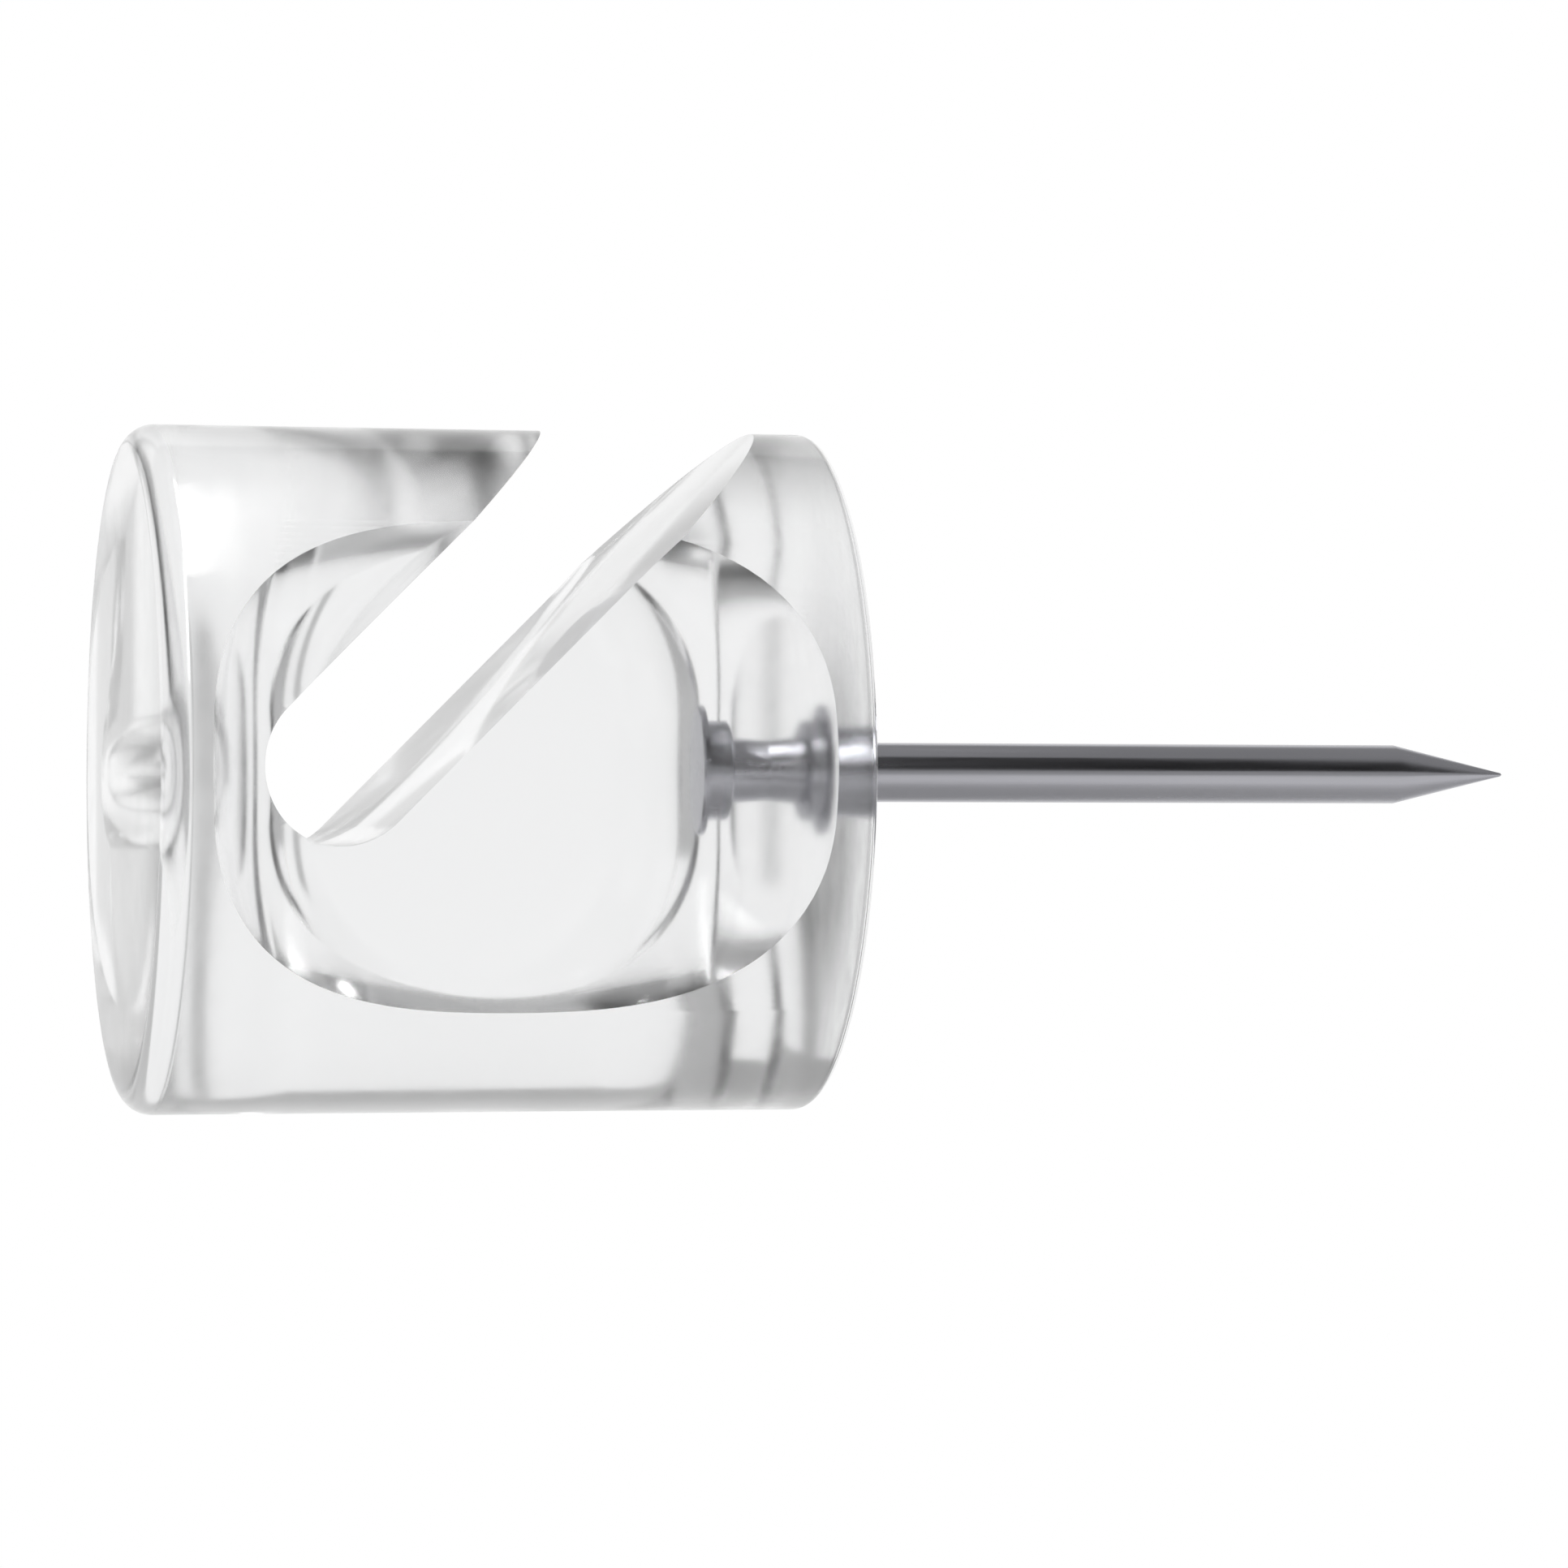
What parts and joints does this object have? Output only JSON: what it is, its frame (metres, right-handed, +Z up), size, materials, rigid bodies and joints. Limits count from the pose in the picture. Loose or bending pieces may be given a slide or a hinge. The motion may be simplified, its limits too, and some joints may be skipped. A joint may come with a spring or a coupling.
{
  "type": "picture hanging pin",
  "caption": "Clear cylindrical push pin with a slanted hanging slot and finger recesses, moulded on a pointed steel nail.",
  "frame": {"origin": "centre of the head's back, which lies against the wall, on the nail's axis", "axes": "+Y into the wall along the nail, +Z up, -Y towards the room, +X to the right side of the pin as its picture shows it"},
  "size_m": [0.012, 0.0253, 0.012],
  "materials": {
    "clear_plastic": "clear polished acrylic",
    "nail_steel": "bright drawn steel wire, ground point"
  },
  "bodies": {
    "root": {"clear_head": "clear_plastic", "steel_nail": "nail_steel"}
  },
  "joints": []
}
